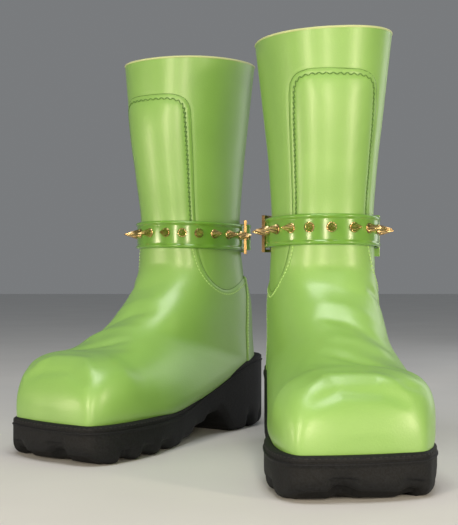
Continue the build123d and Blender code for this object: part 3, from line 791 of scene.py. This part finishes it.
def make_strap(side, paints):
    """Strap from the buckle once round the ankle and on over its own start, slot and sleeve."""
    last = 360 + BUCKLE_AT + TIP_LENGTH
    round_from = last - TIP_ROUND
    turns = np.concatenate([np.arange(BUCKLE_AT + 2, round_from, STRAP_STEP),
                            np.linspace(round_from, last, 12)])
    upper = STRAP_SECTION
    lower = [(-z, thick, share) for z, thick, share in upper][::-1]
    inner = [(SLOT_HALF, 0, 0), (-SLOT_HALF, 0, 0)]
    section = np.array(upper + inner + lower)
    bordered = smooth((turns - BUCKLE_AT - TIP_LENGTH - 8) / 6)
    bordered *= smooth((360 + BUCKLE_AT - 18 - turns) / 6)
    rounding = np.sqrt(np.maximum(1 - ((turns - round_from) / 8.6) ** 2, 0))
    width = np.where(turns > round_from, rounding, 1)
    rings = []
    for turn, border, wide in zip(turns, bordered, width):
        off = tip_off(turn) + section[:, 1] + section[:, 2] * BORDER_HEIGHT * border
        spot, _ = strap_spot(np.full(len(section), turn), off)
        spot[:, 2] += section[:, 0] * wide + strap_arch(turn)
        rings.append(spot)
    points, count = np.array(rings), len(section)
    slotted = np.abs(past_buckle(turns) + SLOT_BEFORE) < SLOT_HALF_LENGTH
    faces = []
    outer_pair, inner_pair = (count - 1, 0), (len(upper), len(upper) + 1)
    for i in range(len(turns) - 1):
        cut = slotted[i] and slotted[i + 1]
        a, b = i * count, (i + 1) * count
        for j in range(count):
            n = (j + 1) % count
            if not (cut and (j, n) in (outer_pair, inner_pair)):
                faces.append((a + j, a + n, b + n, b + j))
        if cut:
            faces.append((a, b, b + inner_pair[0], a + inner_pair[0]))
            faces.append((b + count - 1, a + count - 1, a + inner_pair[1], b + inner_pair[1]))
    for i in range(1, len(turns)):
        if slotted[i] != slotted[i - 1]:
            k = (i if slotted[i] else i - 1) * count
            faces.append((k, k + count - 1, k + inner_pair[1], k + inner_pair[0]))
    end = (len(turns) - 1) * count
    faces += [tuple(range(count))[::-1], tuple(range(end, end + count))]
    parts = [(points.reshape(-1, 3), faces)]
    spot, out = strap_spot(BUCKLE_AT, 0)
    for sign in (1, -1):
        sleeve = [spot + out * BAR_OFF + (0, 0, sign * z)
                  for z in (SLOT_HALF + 0.4, 6, 10, STRAP_HALF)]
        parts.append(tube(sleeve, SLEEVE_RADIUS, 20, squash=np.tile((1.0, 0.0, 0.0), (4, 1))))
    obj = add_mesh(side + "_ankle_strap", *joined(parts), side, paints["patent"], "strap_leather")
    obj.data.set_sharp_from_angle(angle=math.radians(50))
    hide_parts(side + "_strap")
    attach(obj, side + "_leg")


def spike_mesh(turn):
    """Fluted cone on a small rim, standing out of the strap."""
    spot, out = strap_spot(float(turn), STRAP_GAP + STRAP_THICK - 0.1)
    spot = spot + (0, 0, SPIKE_RISE + strap_arch(turn))
    side_way = np.cross((0, 0, 1), out)
    up = np.array((0.0, 0.0, 1.0))
    profile = [(0.0, SPIKE_BASE, 0), (0.6, SPIKE_BASE, 0), (1.0, SPIKE_BASE - 0.35, 0),
               (1.05, SPIKE_BASE - 0.8, 0)]
    profile += [(1.1 + (SPIKE_LENGTH - 1.4) * t, (SPIKE_BASE - 0.3) * (1 - t) ** 0.85 + 0.3 * t, 1)
                for t in np.linspace(0, 1, 9)]
    points = []
    for rise, radius, fluted in profile:
        for k in range(SPIKE_SIDES):
            a = 2 * math.pi * k / SPIKE_SIDES + fluted * SPIKE_TWIST * rise
            r = radius * (1 - SPIKE_FLUTE * fluted * (k % 2))
            points.append(spot + out * rise + (side_way * math.cos(a) + up * math.sin(a)) * r)
    faces = [face[::-1] for face in grid_faces(len(profile), SPIKE_SIDES)]
    last = (len(profile) - 1) * SPIKE_SIDES
    faces += [tuple(range(SPIKE_SIDES)), tuple(range(last, last + SPIKE_SIDES))[::-1]]
    return np.array(points), faces


def make_spikes(side, paints):
    first, step, count = SPIKES[side]
    points, faces = joined([spike_mesh(first + step * i) for i in range(count)])
    obj = add_mesh(side + "_cone_spikes", points, faces, side, paints["bronze"], "spike_metal",
                   smooth_shaded=False)
    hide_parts(side + "_spikes")
    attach(obj, side + "_leg")


# ---------------------------------------------------------------- materials

class Paint:
    """One material's node tree with short ways to add to it."""

    def __init__(self, name):
        self.made = bpy.data.materials.new(name)
        self.made.use_nodes = True
        self.nodes = self.made.node_tree.nodes
        self.links = self.made.node_tree.links
        self.shader = self.nodes["Principled BSDF"]
        self.where = self.nodes.new("ShaderNodeTexCoord").outputs["Object"]

    def noise(self, scale, detail, rough=0.5):
        node = self.nodes.new("ShaderNodeTexNoise")
        node.inputs["Scale"].default_value = scale
        node.inputs["Detail"].default_value = detail
        node.inputs["Roughness"].default_value = rough
        self.links.new(self.where, node.inputs["Vector"])
        return node.outputs["Fac"]

    def cells(self, scale):
        node = self.nodes.new("ShaderNodeTexVoronoi")
        node.inputs["Scale"].default_value = scale
        self.links.new(self.where, node.inputs["Vector"])
        return node.outputs["Distance"]

    def mixed(self, factor, low, high):
        """Colour between low and high by the middle of the factor's range."""
        node = self.nodes.new("ShaderNodeValToRGB")
        node.color_ramp.elements[0].position = 0.35
        node.color_ramp.elements[1].position = 0.65
        node.color_ramp.elements[0].color = (*low, 1)
        node.color_ramp.elements[1].color = (*high, 1)
        self.links.new(factor, node.inputs["Fac"])
        return node.outputs["Color"]

    def ranged(self, factor, low, high):
        node = self.nodes.new("ShaderNodeMapRange")
        node.inputs["To Min"].default_value = low
        node.inputs["To Max"].default_value = high
        self.links.new(factor, node.inputs["Value"])
        return node.outputs["Result"]

    def relief(self, *layers):
        """Bump from (height, strength, distance) layers, one on the other."""
        under = None
        for height, strength, distance in layers:
            node = self.nodes.new("ShaderNodeBump")
            node.inputs["Strength"].default_value = strength
            node.inputs["Distance"].default_value = distance
            self.links.new(height, node.inputs["Height"])
            if under is not None:
                self.links.new(under, node.inputs["Normal"])
            under = node.outputs["Normal"]
        self.links.new(under, self.shader.inputs["Normal"])

    def finish(self, colour, roughness, **values):
        self.links.new(colour, self.shader.inputs["Base Color"])
        self.links.new(roughness, self.shader.inputs["Roughness"])
        for name, value in values.items():
            socket = name.replace("_", " ").title().replace("Ior", "IOR")
            self.shader.inputs[socket].default_value = value
        return self.made


def leather(name, low, high, rough, coat, grain=0.25, grain_scale=900, shine=0.5):
    paint = Paint(name)
    tone = paint.mixed(paint.noise(14, 3), low, high)
    paint.relief((paint.noise(grain_scale, 2, 0.6), grain, 0.0004),
                 (paint.cells(grain_scale * 0.7), grain * 0.5, 0.0003))
    return paint.finish(tone, paint.ranged(paint.noise(40, 2), *rough), coat_weight=coat,
                        coat_roughness=0.25, specular_ior_level=shine)


def metal(name, low, high, rough):
    paint = Paint(name)
    tone = paint.mixed(paint.noise(120, 3), low, high)
    paint.relief((paint.noise(700, 2), 0.06, 0.0003))
    return paint.finish(tone, paint.ranged(paint.noise(200, 2), *rough), metallic=1.0)


def plain(name, low, high, rough, scale=300, grain=0.3):
    paint = Paint(name)
    tone = paint.mixed(paint.noise(scale, 3), low, high)
    paint.relief((paint.noise(scale * 3, 2), grain, 0.0004))
    return paint.finish(tone, paint.ranged(paint.noise(scale, 2), *rough))


def make_paints():
    rubber = Paint("sole_rubber")
    grain = rubber.noise(620, 3, 0.65)
    rubber.relief((grain, 0.5, 0.0006), (rubber.noise(60, 2), 0.15, 0.001))
    tone = rubber.mixed(grain, (0.003, 0.0034, 0.004), (0.011, 0.0125, 0.015))
    return {
        "leather": leather("boot_leather", (0.235, 0.455, 0.092), (0.265, 0.50, 0.108),
                           (0.36, 0.44), 0.2, shine=1.0),
        "patent": leather("strap_leather", (0.14, 0.33, 0.04), (0.165, 0.365, 0.05),
                          (0.14, 0.22), 0.5, 0.06, 500),
        "lining": leather("lining", (0.56, 0.52, 0.32), (0.66, 0.60, 0.38),
                          (0.6, 0.75), 0.0, 0.4, 500),
        "binding": leather("binding", (0.50, 0.58, 0.26), (0.60, 0.66, 0.34),
                           (0.4, 0.5), 0.0, 0.2),
        # Painted shade: a darker copy of the leather green, used for the thin lines along the
        # overlay's and backstay's edges.
        "seam": plain("painted_edge_shade", (0.095, 0.20, 0.037), (0.13, 0.26, 0.05), (0.5, 0.7)),
        "dark_thread": plain("dark_thread", (0.085, 0.20, 0.035), (0.13, 0.27, 0.05),
                             (0.4, 0.6), 900),
        "light_thread": plain("light_thread", (0.44, 0.70, 0.22), (0.54, 0.80, 0.30),
                              (0.4, 0.6), 900),
        "black_thread": plain("rim_thread", (0.004, 0.004, 0.004), (0.012, 0.012, 0.012),
                              (0.6, 0.8), 900),
        "rubber": rubber.finish(tone, rubber.ranged(grain, 0.6, 0.78), specular_ior_level=0.28),
        "bronze": metal("spike_metal", (0.36, 0.24, 0.105), (0.68, 0.50, 0.26), (0.2, 0.32)),
        "gold": metal("buckle_metal", (0.34, 0.22, 0.085), (0.50, 0.34, 0.15), (0.2, 0.32)),
        "steel": metal("plain_steel", (0.42, 0.42, 0.44), (0.58, 0.58, 0.60), (0.3, 0.45)),
        "foam": plain("midsole_foam", (0.045, 0.045, 0.045), (0.07, 0.07, 0.07),
                      (0.8, 0.9), 400),
        "board": plain("insole_board", (0.36, 0.28, 0.18), (0.46, 0.37, 0.25), (0.8, 0.9), 200),
        "insole": leather("footbed_leather", (0.50, 0.40, 0.27), (0.60, 0.49, 0.33),
                          (0.5, 0.65), 0.0, 0.3, 500),
    }


# Solids that show as they are: node name, material and size of the rounded edges in millimetres.
SHOWN_SOLIDS = [("midsole", "foam", 0), ("shank", "steel", 0), ("insole_board", "board", 0),
                ("footbed", "insole", 0), ("strap_loop", "patent", 0.5),
                ("spike_screws", "steel", 0), ("buckle_frame", "gold", 0.7),
                ("buckle_prong", "gold", 0.3), ("keeper", "patent", 0.3)]


def dress_solids(side, paints):
    """Materials for the solids that show as they are, and bevels for the metal and leather ones."""
    for node, paint, rounding in SHOWN_SOLIDS:
        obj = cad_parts[side + "_" + node]
        obj.data.materials.clear()
        obj.data.materials.append(paints[paint])
        if rounding:
            weld = obj.modifiers.new("weld", "WELD")
            weld.merge_threshold = 0.00002
            bevel = obj.modifiers.new("round", "BEVEL")
            bevel.width = rounding * MM
            bevel.segments = 3
            bevel.limit_method = "ANGLE"
            bevel.angle_limit = math.radians(35)


# ---------------------------------------------------------------- studio

# Place in metres, tilt in degrees, focal length in millimetres and vertical shift.
CAMERA_AT = (0.0163, -0.8925, 0.1519)
CAMERA_UP = 0.61
CAMERA_LENS = 72.49
CAMERA_SHIFT = -0.0059


def make_camera():
    data = bpy.data.cameras.new("camera")
    data.lens = CAMERA_LENS
    data.sensor_width = 36
    data.shift_y = CAMERA_SHIFT
    data.clip_start, data.clip_end = 0.05, 50
    camera = bpy.data.objects.new("camera", data)
    camera.location = CAMERA_AT
    camera.rotation_euler = (math.radians(90 + CAMERA_UP), 0, 0)
    bpy.context.scene.collection.objects.link(camera)
    bpy.context.scene.camera = camera


def soft_light(name, at, aim, size, watts, colour=(1, 1, 1)):
    data = bpy.data.lights.new(name, "AREA")
    data.shape = "RECTANGLE"
    data.size, data.size_y = size
    data.energy = watts
    data.color = colour
    light = bpy.data.objects.new(name, data)
    light.location = at
    light.rotation_euler = (Vector(aim) - Vector(at)).to_track_quat("-Z", "Y").to_euler()
    bpy.context.scene.collection.objects.link(light)


def make_studio():
    bpy.ops.mesh.primitive_plane_add(size=12)
    floor = bpy.context.object
    floor.name = "floor"
    paint = plain("floor", (0.70, 0.70, 0.69), (0.73, 0.73, 0.72), (0.7, 0.8), 6, 0.02)
    floor.data.materials.append(paint)
    world = bpy.data.worlds.new("studio")
    world.use_nodes = True
    world.node_tree.nodes["Background"].inputs["Color"].default_value = (0.80, 0.83, 0.86, 1)
    world.node_tree.nodes["Background"].inputs["Strength"].default_value = 0.24
    bpy.context.scene.world = world
    warm = (1.0, 0.84, 0.62)
    soft_light("low_left_strip", (-1.25, -0.35, 0.12), (-0.1, -0.05, 0.05), (0.12, 0.24), 2.6, warm)
    soft_light("left_strip", (-0.55, -1.02, 0.26), (0.0, -0.05, 0.13), (0.08, 0.75), 6.5, warm)
    soft_light("right_strip", (0.98, -0.88, 0.28), (0.05, -0.05, 0.13), (0.12, 0.75), 7, warm)
    soft_light("front_strip", (0.16, -1.45, 0.34), (0.05, 0, 0.13), (0.09, 0.7), 7, warm)
    soft_light("rim_right", (1.0, 0.85, 0.5), (0.1, 0, 0.2), (0.4, 1.0), 2)
    soft_light("overhead", (0.0, -0.45, 1.6), (0, -0.1, 0.1), (0.8, 0.6), 10)
    bpy.context.scene.view_settings.view_transform = "Standard"


# ---------------------------------------------------------------- the pair

make_camera()
make_studio()
paints = make_paints()
for side in SIDES:
    skin_points, skin_normals, skin_tree = make_skin(side, paints)
    make_panel_trim(side, skin_tree, paints)
    make_heel_piece(side, skin_tree, paints)
    make_binding(side, skin_points, skin_normals, paints)
    make_sole(side, paints)
    make_strap(side, paints)
    make_spikes(side, paints)
    dress_solids(side, paints)
